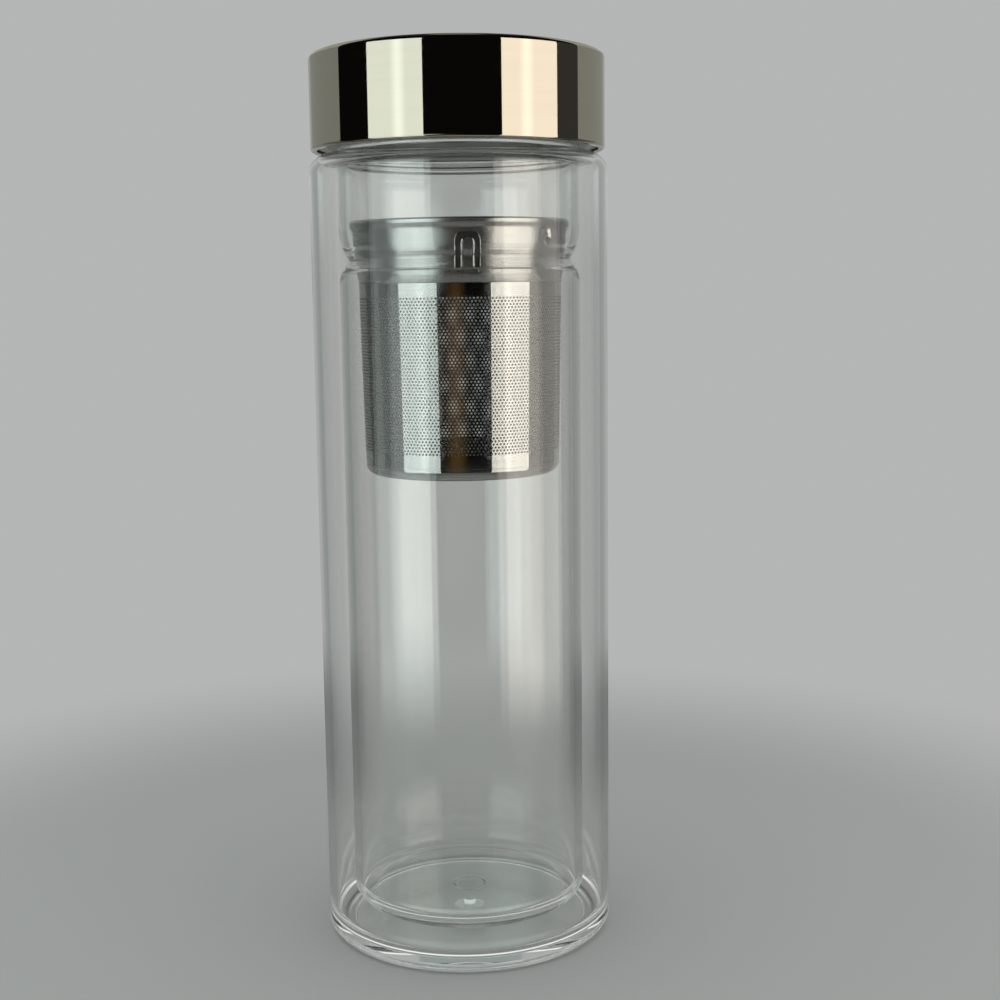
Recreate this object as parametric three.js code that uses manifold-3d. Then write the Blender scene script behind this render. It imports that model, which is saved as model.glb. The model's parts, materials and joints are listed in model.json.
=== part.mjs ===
// Tea infuser tumbler: a double-wall glass body, a screw lid with a polished steel cap,
// and a lift-out steel infuser whose stepped collar sits on the waist of the inner glass.
// Millimetres, +Z up, origin at the centre of the base, front towards -Y.

import * as THREE from 'three';
import { mergeVertices } from 'three/addons/utils/BufferGeometryUtils.js';
import Module from 'manifold-3d';

const wasm = await Module();
wasm.setup();

// Facets of the turned pieces and of their rounded corners
const turnSegments = 36;
const arcSteps = 3;
const waistSteps = 8;
const threadArcSteps = 4;
const cutArcSteps = 4;

// Clearances
const weldGap = 0.3; // between pieces that are fused or welded edge to edge
const fitGap = 0.3; // between pieces pressed or bonded into each other
const sealGap = 0.3; // between the gasket and the glass lip
const seatGap = 0.3; // between the infuser's collar and the glass waist
const collarClearance = 1.5; // upper collar to the bore of the inner glass
const rimClearance = 0.7; // infuser rim to the bore of the inner glass
const lidGap = 0.8; // lower edge of the lid above the glass shoulder

// Outer glass wall
const glassRadius = 35;
const glassWall = 1.8;
const bodyHeight = 187.6;
const shoulderFillet = 4;
const baseFillet = 2.4;
const baseThickness = 2.4;
const footRingWidth = 3.2;
const footRecess = 0.6;
const pipRadius = 3.8;
const pipHeight = 3.4;
const pipFillet = 2.4;

// Inner glass vessel, with the waist that carries the infuser
const airGap = 4.7;
const floorGap = 5.1;
const vesselFillet = 4;
const lipFillet = 0.8;
const waistDrop = 24.4; // centre of the waist below the shoulder
const waistHalfSpan = 5.2;
const waistDepth = 1.8;

// Lid: steel shell, plastic liner with the screw thread, silicone gasket
const lidInset = 0.5;
const lidHeight = 21.6;
const lidFillet = 1.3;
const shellWall = 0.6;
const hemReach = 0.9;
const linerRoofThickness = 1.8;
const ribWidth = 1.2;
const ribDepth = 2.1;
const ribInset = 0.9; // centring rib inside the bore of the neck
const gasketThickness = 1.8;

// Screw thread, a round ridge on the neck and another in the liner
const threadLead = 6;
const threadRadius = 1.3;
const threadOverlap = 0.8;
const threadFootMargin = 5.4;
const threadTopMargin = 2.9;

// Infuser: collar, perforated wall, dished floor
const sheet = 0.5;
const collarRise = 7; // from the step on the collar up to the rim
const collarDrop = 5; // from the step down to the collar's lower edge
const stepHeight = 1.2;
const rimHeight = 1.3;
const coneHeight = 2.4;
const coneInset = 0.55;
const infuserDepth = 59.2;
const wallTaper = 0.75;
const dishHeight = 2.8;
const dishFillet = 2.4;

// Spring tongues and lifting holes in the collar
const tongueAngles = [3, 183];
const holeAngles = [48, 228];
const slotSpan = 6.1;
const slotWidth = 1.5;
const slotCorner = 2.2;
const slotRise = 3.2; // top of the slot above the step
const slotDrop = 3.9; // centre of the leg ends below the step
const holeRadius = 1.2;
const holeRise = 3.5;

// Radii that follow from the sizes above
const vesselRadius = glassRadius - glassWall - airGap;
const vesselBore = vesselRadius - glassWall;
const throatRadius = vesselBore - waistDepth;
const lidRadius = glassRadius - lidInset;
const linerRadius = lidRadius - shellWall - fitGap;
const linerBore = vesselRadius + 2 * threadRadius - threadOverlap;
const ribRadius = vesselBore - ribInset;
const collarRadius = vesselBore - collarClearance;
const lowerCollarRadius = throatRadius - seatGap;
const rimRadius = vesselBore - rimClearance;
const coneRadius = lowerCollarRadius - coneInset;
const dishRadius = coneRadius - wallTaper;

// Heights above the base
const vesselBottom = baseThickness + floorGap;
const waistHeight = bodyHeight - waistDrop;
const lidBottom = bodyHeight + lidGap;
const seatHeight = waistHeight + waistRise(collarRadius + seatGap);

// Heights inside the lid, above its lower edge
const linerTop = lidHeight - shellWall - fitGap;
const linerRoof = linerTop - linerRoofThickness;
const linerFoot = shellWall + fitGap;
const gasketTop = linerRoof - fitGap;
const gasketFoot = gasketTop - gasketThickness;
const neckTop = lidBottom + gasketFoot - sealGap;

// Thread heights above the base; the liner's ridge bears under the neck's ridge
const neckThreadFoot = bodyHeight + threadFootMargin;
const neckThreadTop = neckTop - threadTopMargin;
const threadReach = 2 * threadRadius + fitGap;
const threadEngagement = Math.sqrt(threadReach ** 2 - (linerBore - vesselRadius) ** 2);
const linerThreadFoot = lidBottom + linerFoot + threadRadius + fitGap;
const linerThreadTop = neckThreadTop - threadEngagement;

// Materials
const finishes = {
  glass: { color: 0xe4ece9, roughness: 0.03, metalness: 0, transparent: true, opacity: 0.35 },
  polishedSteel: { color: 0xc9c6bf, roughness: 0.08, metalness: 1 },
  brushedSteel: { color: 0xb9b8b2, roughness: 0.28, metalness: 1 },
  linerPlastic: { color: 0xe7e6e0, roughness: 0.5, metalness: 0 },
  silicone: { color: 0xf0efea, roughness: 0.65, metalness: 0 },
};

// Height above the waist's centre at which the inner glass has the given bore
function waistRise(radius) {
  return (waistHalfSpan / Math.PI) * Math.acos(1 - (2 * (radius - throatRadius)) / waistDepth);
}

// Corners of the waist, from its lower edge to its upper edge, on a wall of the given radius
function waistCorners(radius) {
  return Array.from({ length: waistSteps + 1 }, (_, i) => {
    const t = (2 * i) / waistSteps - 1;
    const pinch = (waistDepth * (1 + Math.cos(Math.PI * t))) / 2;
    return [radius - pinch, waistHeight + t * waistHalfSpan];
  });
}

// Outline through corners given as [radius, height, fillet], with the material on its left
function outline(corners, closed) {
  const count = corners.length;
  const place = (i) => new THREE.Vector2(corners[i][0], corners[i][1]);
  const points = corners.flatMap(([, , fillet = 0], i) => {
    const corner = place(i);
    if (fillet === 0) return [corner];
    const back = place((i + count - 1) % count).sub(corner).normalize();
    const ahead = place((i + 1) % count).sub(corner).normalize();
    const half = Math.acos(back.dot(ahead)) / 2;
    const inward = back.clone().add(ahead).normalize();
    const centre = corner.clone().addScaledVector(inward, fillet / Math.sin(half));
    const reach = fillet / Math.tan(half);
    const start = corner.clone().addScaledVector(back, reach).sub(centre).angle();
    const end = corner.clone().addScaledVector(ahead, reach).sub(centre).angle();
    const clockwise = back.cross(ahead) > 0;
    const arc = new THREE.EllipseCurve(centre.x, centre.y, fillet, fillet, start, end, clockwise);
    return arc.getPoints(arcSteps);
  });
  return closed ? [...points, points[0].clone()] : points;
}

// Piece turned about the Z axis; its outline starts and ends on the axis
function turned(corners) {
  return new THREE.LatheGeometry(outline(corners, false), turnSegments).rotateX(Math.PI / 2);
}

// Ring turned about the Z axis; its outline closes on itself
function turnedRing(corners) {
  return new THREE.LatheGeometry(outline(corners, true), turnSegments).rotateX(Math.PI / 2);
}

// Right-hand helix whose height grows by the thread's lead in each turn
class ThreadCurve extends THREE.Curve {
  constructor(radius, foot, top, heightAtZeroAngle) {
    super();
    Object.assign(this, { radius, foot, top, heightAtZeroAngle });
  }

  getPoint(t, target = new THREE.Vector3()) {
    const z = THREE.MathUtils.lerp(this.foot, this.top, t);
    const angle = ((z - this.heightAtZeroAngle) / threadLead) * 2 * Math.PI;
    return target.set(this.radius * Math.cos(angle), this.radius * Math.sin(angle), z);
  }
}

// Round thread ridge along a helix
function threadRidge(curve) {
  const section = new THREE.Shape().absarc(0, 0, threadRadius, 0, 2 * Math.PI);
  const steps = Math.ceil(((curve.top - curve.foot) / threadLead) * turnSegments);
  return new THREE.ExtrudeGeometry(section, {
    steps,
    curveSegments: threadArcSteps,
    extrudePath: curve,
  });
}

// Solid for joining and cutting, from a closed geometry
function solidOf(geometry) {
  const bare = geometry.clone();
  bare.deleteAttribute('normal');
  bare.deleteAttribute('uv');
  const welded = mergeVertices(bare);
  const corners = welded.index.array;
  const triangles = [];
  for (let i = 0; i < corners.length; i += 3) {
    const [a, b, c] = corners.slice(i, i + 3);
    if (a !== b && b !== c && c !== a) triangles.push(a, b, c);
  }
  const vertProperties = welded.attributes.position.array;
  const triVerts = Uint32Array.from(triangles);
  return new wasm.Manifold(new wasm.Mesh({ numProp: 3, vertProperties, triVerts }));
}

// Geometry of a joined or cut solid
function geometryOf(solid) {
  const mesh = solid.getMesh();
  const geometry = new THREE.BufferGeometry();
  geometry.setAttribute('position', new THREE.BufferAttribute(mesh.vertProperties, 3));
  geometry.setIndex(new THREE.BufferAttribute(mesh.triVerts, 1));
  geometry.computeVertexNormals();
  return geometry;
}

// Named mesh with a finish of its own
function piece(name, geometry, finish) {
  const mesh = new THREE.Mesh(geometry, new THREE.MeshStandardMaterial(finishes[finish]));
  mesh.name = name;
  return mesh;
}

// Straight outer wall with a rounded base, a sealed pip on its floor and a shoulder
function outerGlassWall() {
  const footRadius = glassRadius - baseFillet - footRingWidth;
  const innerRadius = glassRadius - glassWall;
  const weldRadius = vesselRadius + weldGap;
  const pipTop = baseThickness + pipHeight;
  return turned([
    [0, footRecess],
    [footRadius - footRecess, footRecess],
    [footRadius, 0],
    [glassRadius, 0, baseFillet],
    [glassRadius, bodyHeight, shoulderFillet],
    [weldRadius, bodyHeight],
    [weldRadius, bodyHeight - glassWall],
    [innerRadius, bodyHeight - glassWall, shoulderFillet - glassWall],
    [innerRadius, baseThickness, baseFillet],
    [pipRadius, baseThickness],
    [pipRadius, pipTop, pipFillet],
    [0, pipTop],
  ]);
}

// Inner vessel with its waist, and a neck with the outer screw thread
function innerGlassVessel() {
  const vessel = turned([
    [0, vesselBottom],
    [vesselRadius, vesselBottom, vesselFillet],
    ...waistCorners(vesselRadius),
    [vesselRadius, neckTop, lipFillet],
    [vesselBore, neckTop, lipFillet],
    ...waistCorners(vesselBore).reverse(),
    [vesselBore, vesselBottom + glassWall, vesselFillet - glassWall],
    [0, vesselBottom + glassWall],
  ]);
  const helix = new ThreadCurve(vesselRadius, neckThreadFoot, neckThreadTop, neckThreadFoot);
  return geometryOf(solidOf(vessel).add(solidOf(threadRidge(helix))));
}

// Steel cap with a rounded top edge and a hem that holds the liner
function lidShell() {
  const innerRadius = lidRadius - shellWall;
  return turned([
    [0, lidHeight - shellWall],
    [innerRadius, lidHeight - shellWall, lidFillet - shellWall],
    [innerRadius, shellWall],
    [innerRadius - hemReach, shellWall],
    [innerRadius - hemReach, 0],
    [lidRadius, 0, shellWall],
    [lidRadius, lidHeight, lidFillet],
    [0, lidHeight],
  ]);
}

// Plastic cup inside the shell, with a rib that centres the gasket and the inner screw thread
function lidLiner() {
  const cup = turned([
    [0, linerRoof],
    [ribRadius - ribWidth, linerRoof],
    [ribRadius - ribWidth, linerRoof - ribDepth],
    [ribRadius, linerRoof - ribDepth],
    [ribRadius, linerRoof],
    [linerBore, linerRoof],
    [linerBore, linerFoot],
    [linerRadius, linerFoot],
    [linerRadius, linerTop, lidFillet],
    [0, linerTop],
  ]);
  const foot = linerThreadFoot - lidBottom;
  const top = linerThreadTop - lidBottom;
  const zero = neckThreadFoot - threadEngagement - lidBottom;
  const helix = new ThreadCurve(linerBore, foot, top, zero);
  return geometryOf(solidOf(cup).add(solidOf(threadRidge(helix))));
}

// Flat silicone ring between the liner's roof and the lip of the neck
function lidGasket() {
  const inner = ribRadius + fitGap;
  const outer = linerBore - fitGap;
  return turnedRing([
    [inner, gasketFoot],
    [outer, gasketFoot],
    [outer, gasketTop],
    [inner, gasketTop],
  ]);
}

// Arch-shaped slot that frees a spring tongue, cut through the front of the collar
function tongueSlot() {
  const half = slotSpan / 2;
  const tongueHalf = half - slotWidth;
  const legCentre = half - slotWidth / 2;
  const legRadius = slotWidth / 2;
  const shape = new THREE.Shape()
    .moveTo(-half, -slotDrop)
    .absarc(-legCentre, -slotDrop, legRadius, Math.PI, 2 * Math.PI, false)
    .absarc(0, slotRise - slotCorner, tongueHalf, Math.PI, 0, true)
    .absarc(legCentre, -slotDrop, legRadius, Math.PI, 2 * Math.PI, false)
    .absarc(half - slotCorner, slotRise - slotCorner, slotCorner, 0, Math.PI / 2, false)
    .absarc(slotCorner - half, slotRise - slotCorner, slotCorner, Math.PI / 2, Math.PI, false);
  return throughFront(new THREE.ExtrudeGeometry(shape, cutter()));
}

// Round lifting hole, cut through the front of the collar
function liftingHole() {
  const shape = new THREE.Shape().absarc(0, holeRise, holeRadius, 0, 2 * Math.PI);
  return throughFront(new THREE.ExtrudeGeometry(shape, cutter()));
}

// Extrusion that is deep enough to pass the collar's wall
function cutter() {
  return { depth: rimRadius, bevelEnabled: false, curveSegments: cutArcSteps };
}

// Turns a cutter drawn in width and height so that it points out of the collar's front
function throughFront(geometry) {
  return geometry.rotateX(Math.PI / 2).translate(0, -collarRadius / 2, 0);
}

// Collar with a rolled rim, a step that sits on the glass waist and a cone down to the wall
function infuserCollar() {
  const ring = turnedRing([
    [coneRadius - sheet, -collarDrop - coneHeight],
    [coneRadius, -collarDrop - coneHeight],
    [lowerCollarRadius, -collarDrop],
    [lowerCollarRadius, -stepHeight],
    [collarRadius, 0],
    [collarRadius, collarRise - rimHeight],
    [rimRadius, collarRise - rimHeight],
    [rimRadius, collarRise],
    [collarRadius - sheet, collarRise],
    [collarRadius - sheet, 0],
    [lowerCollarRadius - sheet, -stepHeight],
    [lowerCollarRadius - sheet, -collarDrop],
  ]);
  const slots = tongueAngles.map((angle) => [tongueSlot(), angle]);
  const holes = holeAngles.map((angle) => [liftingHole(), angle]);
  const cut = [...slots, ...holes].reduce(
    (solid, [cutout, angle]) =>
      solid.subtract(solidOf(cutout.rotateZ(THREE.MathUtils.degToRad(angle)))),
    solidOf(ring),
  );
  return geometryOf(cut);
}

// Tapered wall between the collar's cone and the dished floor
function infuserWall() {
  const top = -collarDrop - coneHeight - weldGap;
  const foot = collarRise - infuserDepth + dishHeight + weldGap;
  return turnedRing([
    [dishRadius - sheet, foot],
    [dishRadius, foot],
    [coneRadius, top],
    [coneRadius - sheet, top],
  ]);
}

// Floor with a rounded, upturned edge
function infuserFloor() {
  const foot = collarRise - infuserDepth;
  return turned([
    [0, foot],
    [dishRadius, foot, dishFillet],
    [dishRadius, foot + dishHeight],
    [dishRadius - sheet, foot + dishHeight],
    [dishRadius - sheet, foot + sheet, dishFillet - sheet],
    [0, foot + sheet],
  ]);
}

// Assembly
const glassBody = new THREE.Group();
glassBody.add(
  piece('outer_glass_wall', outerGlassWall(), 'glass'),
  piece('inner_glass_vessel', innerGlassVessel(), 'glass'),
);

const lid = new THREE.Group();
lid.position.z = lidBottom;
lid.add(
  piece('lid_shell', lidShell(), 'polishedSteel'),
  piece('lid_liner', lidLiner(), 'linerPlastic'),
  piece('lid_gasket', lidGasket(), 'silicone'),
);

const infuser = new THREE.Group();
infuser.position.z = seatHeight;
infuser.add(
  piece('infuser_collar', infuserCollar(), 'brushedSteel'),
  piece('infuser_wall', infuserWall(), 'polishedSteel'),
  piece('infuser_floor', infuserFloor(), 'polishedSteel'),
);

const tumbler = new THREE.Group();
tumbler.add(glassBody, lid, infuser);

export default tumbler;
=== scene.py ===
"""Looks of a double-wall glass tea tumbler with a screw lid and a lift-out steel infuser.

Lengths in the dataclass fields are millimetres and angles are degrees. Meshes are in metres, in the
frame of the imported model.
"""

import json
import logging
import math
from dataclasses import dataclass
from enum import Enum
from typing import Callable, Optional, Sequence, Union

import bmesh
import bpy
from bmesh.types import BMEdge, BMesh, BMFace, BMVert
from bpy.types import Material, Node, NodeSocket, NodeTree, Object
from mathutils import Matrix, Vector

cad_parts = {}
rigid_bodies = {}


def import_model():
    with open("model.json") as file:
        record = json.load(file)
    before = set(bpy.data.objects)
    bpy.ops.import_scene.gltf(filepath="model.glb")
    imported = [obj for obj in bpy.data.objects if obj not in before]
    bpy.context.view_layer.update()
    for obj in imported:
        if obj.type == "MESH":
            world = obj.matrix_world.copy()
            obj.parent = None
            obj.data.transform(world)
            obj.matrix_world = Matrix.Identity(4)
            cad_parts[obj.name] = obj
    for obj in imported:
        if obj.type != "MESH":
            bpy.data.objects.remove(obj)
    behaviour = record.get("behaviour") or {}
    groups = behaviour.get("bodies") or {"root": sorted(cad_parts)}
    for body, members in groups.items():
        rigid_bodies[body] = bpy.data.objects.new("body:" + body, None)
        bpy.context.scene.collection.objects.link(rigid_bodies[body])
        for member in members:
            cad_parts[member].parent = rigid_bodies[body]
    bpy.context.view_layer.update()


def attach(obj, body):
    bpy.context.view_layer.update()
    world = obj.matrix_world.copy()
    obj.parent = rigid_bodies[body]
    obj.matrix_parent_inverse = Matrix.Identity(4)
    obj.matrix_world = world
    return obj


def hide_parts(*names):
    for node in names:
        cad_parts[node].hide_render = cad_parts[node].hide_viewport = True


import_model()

LOG = logging.getLogger("tumbler")
MM = 0.001
FULL_TURN = 2.0 * math.pi
QUARTER_TURN = 0.5 * math.pi
UP = Vector((0.0, 0.0, 1.0))
EASE_SEGMENTS = 8
MERGE_DISTANCE = 1e-6
ON_WALL = 0.01
LONG_EDGE = 2.0
SUPPORT_REACH = 0.35
CREASE_ANGLE = math.radians(34.0)
CELL_SIDES = 6
CELL_RADIUS = 1.0 / math.sqrt(3.0)
CELL_ROW = 0.5 * math.sqrt(3.0)
CELL_EDGE = 0.36
CELL_MERGE = 0.01
ROWS_TO_REACH = 1.16

Setting = Union[float, Sequence[float], NodeSocket]
Colour = tuple[float, float, float]

WHITE = (1.0, 1.0, 1.0)
COOL = (0.89, 1.0, 0.98)
WARM = (1.07, 1.0, 0.91)
BROWN = (1.0, 0.55, 0.2)
LEFT_GREY = (0.92, 1.0, 0.97)
RIGHT_GREY = (0.96, 1.0, 0.97)


class Body(Enum):
    """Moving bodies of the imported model."""

    TUMBLER = "tumbler"
    LID_SEAL = "lid_seal"
    LID = "lid"
    INFUSER = "infuser"


class Slot(Enum):
    """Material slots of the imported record."""

    GLASS = "glass"
    POLISHED_STEEL = "polished_steel"
    BRUSHED_STEEL = "brushed_steel"
    LINER_PLASTIC = "liner_plastic"
    SILICONE = "silicone"


class Side(Enum):
    """Which way a thread ridge stands off its wall."""

    OUTWARD = 1.0
    INWARD = -1.0


@dataclass(frozen=True)
class Corner:
    """Corner of an outline: radius, height, and the length that rounding takes off its two edges."""

    r: float
    z: float
    ease: float = 0.0


@dataclass(frozen=True)
class Thread:
    """Screw ridge on a turned wall; its height at angle zero sets the phase of the helix."""

    wall: float
    foot: float
    top: float
    zero: float
    side: Side
    lead: float = 6.0
    crest: float = 1.2
    half_width: float = 1.5
    run_in: float = 0.9
    row: float = 0.3

    def split_rows(self, bm: BMesh, foot: float, top: float) -> None:
        """Cuts the outline's edges on the threaded wall into short rows.

        Args:
            bm: Mesh that holds the outline, not yet turned.
            foot: Height that an edge has to stay above.
            top: Height that an edge has to stay below.
        """
        for edge in bm.edges[:]:
            heights = [v.co.z / MM for v in edge.verts]
            on_wall = all(abs(v.co.x / MM - self.wall) < ON_WALL for v in edge.verts)
            cuts = int(edge.calc_length() / MM / self.row)
            if cuts and on_wall and min(heights) > foot and max(heights) < top:
                bmesh.ops.subdivide_edges(bm, edges=[edge], cuts=cuts)

    def raise_on(self, bm: BMesh) -> None:
        """Moves the wall's vertices out to form the ridge.

        Args:
            bm: Turned mesh with closely spaced rows on the threaded wall.
        """
        for vert in bm.verts:
            radius = math.hypot(vert.co.x, vert.co.y) / MM
            if abs(radius - self.wall) > ON_WALL:
                continue
            height = vert.co.z / MM
            part = math.atan2(vert.co.y, vert.co.x) / FULL_TURN
            centre = self.zero + self.lead * (part + round((height - self.zero) / self.lead - part))
            offset = abs(height - centre)
            fade = smooth(min(centre - self.foot, self.top - centre) / self.run_in)
            if fade == 0.0 or offset >= self.half_width:
                continue
            swell = 0.5 * (1.0 + math.cos(math.pi * offset / self.half_width))
            grow_sideways(vert, self.side.value * self.crest * fade * swell / radius)


def smooth(t: float) -> float:
    """Returns t held to 0 to 1 and eased at both ends."""
    t = min(max(t, 0.0), 1.0)
    return t * t * (3.0 - 2.0 * t)


def grow_sideways(vert: BMVert, share: float) -> None:
    """Moves a vertex away from the Z axis by a share of its distance."""
    vert.co.x *= 1.0 + share
    vert.co.y *= 1.0 + share


def on_ring(radius: float, angle: float, z: float) -> Vector:
    """Returns the point at a radius, an angle in radians from the front and a height, in metres."""
    return Vector((radius * math.sin(angle), -radius * math.cos(angle), z)) * MM


def only(kind: type, geom: Sequence) -> list:
    """Returns the elements of one kind among those that an operator made."""
    return [item for item in geom if isinstance(item, kind)]


def whole(bm: BMesh) -> list:
    """Returns every vertex, edge and face of a mesh."""
    return bm.verts[:] + bm.edges[:] + bm.faces[:]


def draw(corners: Sequence[Corner], closed: bool = False) -> BMesh:
    """Draws an outline in the XZ plane and rounds its corners.

    Args:
        corners: Corners in order.
        closed: Whether the last corner joins the first.

    Returns:
        A new mesh that holds the outline.
    """
    bm = bmesh.new()
    verts = [bm.verts.new((c.r * MM, 0.0, c.z * MM)) for c in corners]
    ends = verts[1:] + verts[:1] if closed else verts[1:]
    for start, end in zip(verts, ends):
        bm.edges.new((start, end))
    for corner, vert in zip(corners, verts):
        if corner.ease:
            bmesh.ops.bevel(bm, geom=[vert], offset=corner.ease * MM, offset_type="OFFSET",
                            segments=EASE_SEGMENTS, profile=0.5, affect="VERTICES", material=-1)
    support_ends(bm)
    return bm


def support_ends(bm: BMesh) -> None:
    """Adds a vertex near each end of a long edge, so that rounding next to it doesn't bend its shading.

    Args:
        bm: Mesh that holds an outline, not yet turned.
    """
    for edge in [e for e in bm.edges if e.calc_length() > LONG_EDGE * MM]:
        for vert in edge.verts[:]:
            if abs(vert.co.x) > MERGE_DISTANCE:
                bmesh.utils.edge_split(edge, vert, SUPPORT_REACH * MM / edge.calc_length())


def close_up(bm: BMesh) -> None:
    """Merges a mesh's doubles and turns its faces outwards."""
    bmesh.ops.remove_doubles(bm, verts=bm.verts[:], dist=MERGE_DISTANCE)
    bmesh.ops.recalc_face_normals(bm, faces=bm.faces[:])


def turn(bm: BMesh, steps: int) -> BMesh:
    """Spins the outline about the Z axis, closes its seam and poles, and turns its faces outwards.

    Args:
        bm: Mesh that holds the outline.
        steps: Number of steps in the full turn.

    Returns:
        The same mesh.
    """
    bmesh.ops.spin(bm, geom=bm.verts[:] + bm.edges[:], axis=UP, angle=FULL_TURN, steps=steps,
                   use_merge=True)
    close_up(bm)
    return bm


def shift(bm: BMesh, x: float, y: float, z: float) -> None:
    """Moves a whole mesh, in millimetres."""
    bmesh.ops.translate(bm, verts=bm.verts[:], vec=(x * MM, y * MM, z * MM))


def give_finish(bm: BMesh, index: int) -> None:
    """Gives every face of a mesh the material with this index."""
    for face in bm.faces:
        face.material_index = index


def take_in(bm: BMesh, other: BMesh, angle: float = 0.0) -> None:
    """Adds another mesh to this one and frees it.

    Args:
        bm: Mesh that grows.
        other: Mesh that is added.
        angle: Angle about the Z axis that the other mesh is turned by first.
    """
    if angle:
        bmesh.ops.rotate(other, verts=other.verts[:], matrix=Matrix.Rotation(math.radians(angle), 3, "Z"))
    carrier = bpy.data.meshes.new("carrier")
    other.to_mesh(carrier)
    other.free()
    bm.from_mesh(carrier)
    bpy.data.meshes.remove(carrier)


def new_object(name: str, bm: BMesh, *materials: Material) -> Object:
    """Makes a smooth-shaded object with sharp creases from a mesh, and frees the mesh.

    Args:
        name: Name of the object.
        bm: Mesh in place, in metres.
        *materials: Materials by index.

    Returns:
        The linked object.
    """
    mesh = bpy.data.meshes.new(name)
    bm.to_mesh(mesh)
    bm.free()
    mesh.shade_smooth()
    mesh.set_sharp_from_angle(angle=CREASE_ANGLE)
    for material in materials:
        mesh.materials.append(material)
    obj = bpy.data.objects.new(name, mesh)
    bpy.context.scene.collection.objects.link(obj)
    return obj


def place(obj: Object, body: Body, slot: Slot, *nodes: str) -> None:
    """Makes an object a piece of the model and reports it.

    Args:
        obj: Finished object.
        body: Body that it rides on.
        slot: Material slot of the record; not used.
        *nodes: CAD nodes that it stands for.
    """
    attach(obj, body.value)
    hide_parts(*nodes)
    LOG.info("%s: %d faces on %s", obj.name, len(obj.data.polygons), body.value)


class Graph:
    """Node tree with short calls to add and join nodes."""

    def __init__(self, tree: NodeTree) -> None:
        """Empties the tree and holds it."""
        self.tree = tree
        tree.nodes.clear()

    def add(self, kind: str, inputs: Optional[dict] = None, **settings: object) -> Node:
        """Adds a node.

        Args:
            kind: Type name of the node.
            inputs: Values or sockets by input name or index.
            **settings: Properties of the node.

        Returns:
            The new node.
        """
        node = self.tree.nodes.new(kind)
        for name, value in settings.items():
            setattr(node, name, value)
        for key, value in (inputs or {}).items():
            if isinstance(value, NodeSocket):
                self.tree.links.new(value, node.inputs[key])
            else:
                node.inputs[key].default_value = value
        return node

    def first(self, kind: str, inputs: Optional[dict] = None, **settings: object) -> NodeSocket:
        """Adds a node and returns its first output."""
        return self.add(kind, inputs, **settings).outputs[0]

    def math(self, operation: str, *values: Setting) -> NodeSocket:
        """Returns the result of a Math node on these values."""
        return self.first("ShaderNodeMath", dict(enumerate(values)), operation=operation)

    def remap(self, value: NodeSocket, low: float, high: float, to_low: float = 0.0,
              to_high: float = 1.0) -> NodeSocket:
        """Returns a value mapped smoothly from one range to another, and held there."""
        inputs = {"Value": value, "From Min": low, "From Max": high, "To Min": to_low, "To Max": to_high}
        return self.first("ShaderNodeMapRange", inputs, interpolation_type="SMOOTHSTEP")

    def noise(self, vector: NodeSocket, scale: Setting, detail: float) -> NodeSocket:
        """Returns the value of a Noise Texture at a vector."""
        return self.first("ShaderNodeTexNoise", {"Vector": vector, "Scale": scale, "Detail": detail})

    def object_place(self) -> NodeSocket:
        """Returns the Object coordinates."""
        return self.add("ShaderNodeTexCoord").outputs["Object"]

    def group(self, tree: NodeTree, **inputs: float) -> NodeSocket:
        """Returns the output of a node group that is given these values."""
        return self.first("ShaderNodeGroup", inputs, node_tree=tree)

    def blend(self, factor: NodeSocket, start: Colour, end: Colour) -> NodeSocket:
        """Returns a colour between two colours."""
        inputs = {0: factor, 6: (*start, 1.0), 7: (*end, 1.0)}
        return self.add("ShaderNodeMix", inputs, data_type="RGBA").outputs[2]

    def bump(self, height: NodeSocket, relief: float) -> NodeSocket:
        """Returns the normal of a surface with a relief of this depth in millimetres."""
        return self.first("ShaderNodeBump", {"Height": height, "Distance": relief * MM, "Strength": 1.0})

    def glow(self, tint: Colour, strength: Setting) -> NodeSocket:
        """Returns an Emission shader."""
        return self.first("ShaderNodeEmission", {"Color": (*tint, 1.0), "Strength": strength})

    def mix(self, factor: NodeSocket, start: NodeSocket, end: NodeSocket) -> NodeSocket:
        """Returns a shader between two shaders."""
        return self.first("ShaderNodeMixShader", {0: factor, 1: start, 2: end})

    def surface(self, shader: NodeSocket) -> None:
        """Makes a shader the surface of the material."""
        self.add("ShaderNodeOutputMaterial", {"Surface": shader})


def new_group(name: str, inputs: dict[str, float], output: str) -> tuple[Graph, Node]:
    """Starts a shader node group with float sockets.

    Args:
        name: Name of the group.
        inputs: Default values by input name.
        output: Name of its one output.

    Returns:
        The group's graph and its input node.
    """
    tree = bpy.data.node_groups.new(name, "ShaderNodeTree")
    for key, value in inputs.items():
        socket = tree.interface.new_socket(name=key, in_out="INPUT", socket_type="NodeSocketFloat")
        socket.default_value = value
    tree.interface.new_socket(name=output, in_out="OUTPUT", socket_type="NodeSocketFloat")
    graph = Graph(tree)
    return graph, graph.add("NodeGroupInput")


def new_material(name: str) -> tuple[Material, Graph]:
    """Starts a material.

    Args:
        name: Name of the material.

    Returns:
        The material with an empty node tree, and its graph.
    """
    material = bpy.data.materials.new(name)
    material.use_nodes = True
    return material, Graph(material.node_tree)


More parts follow.
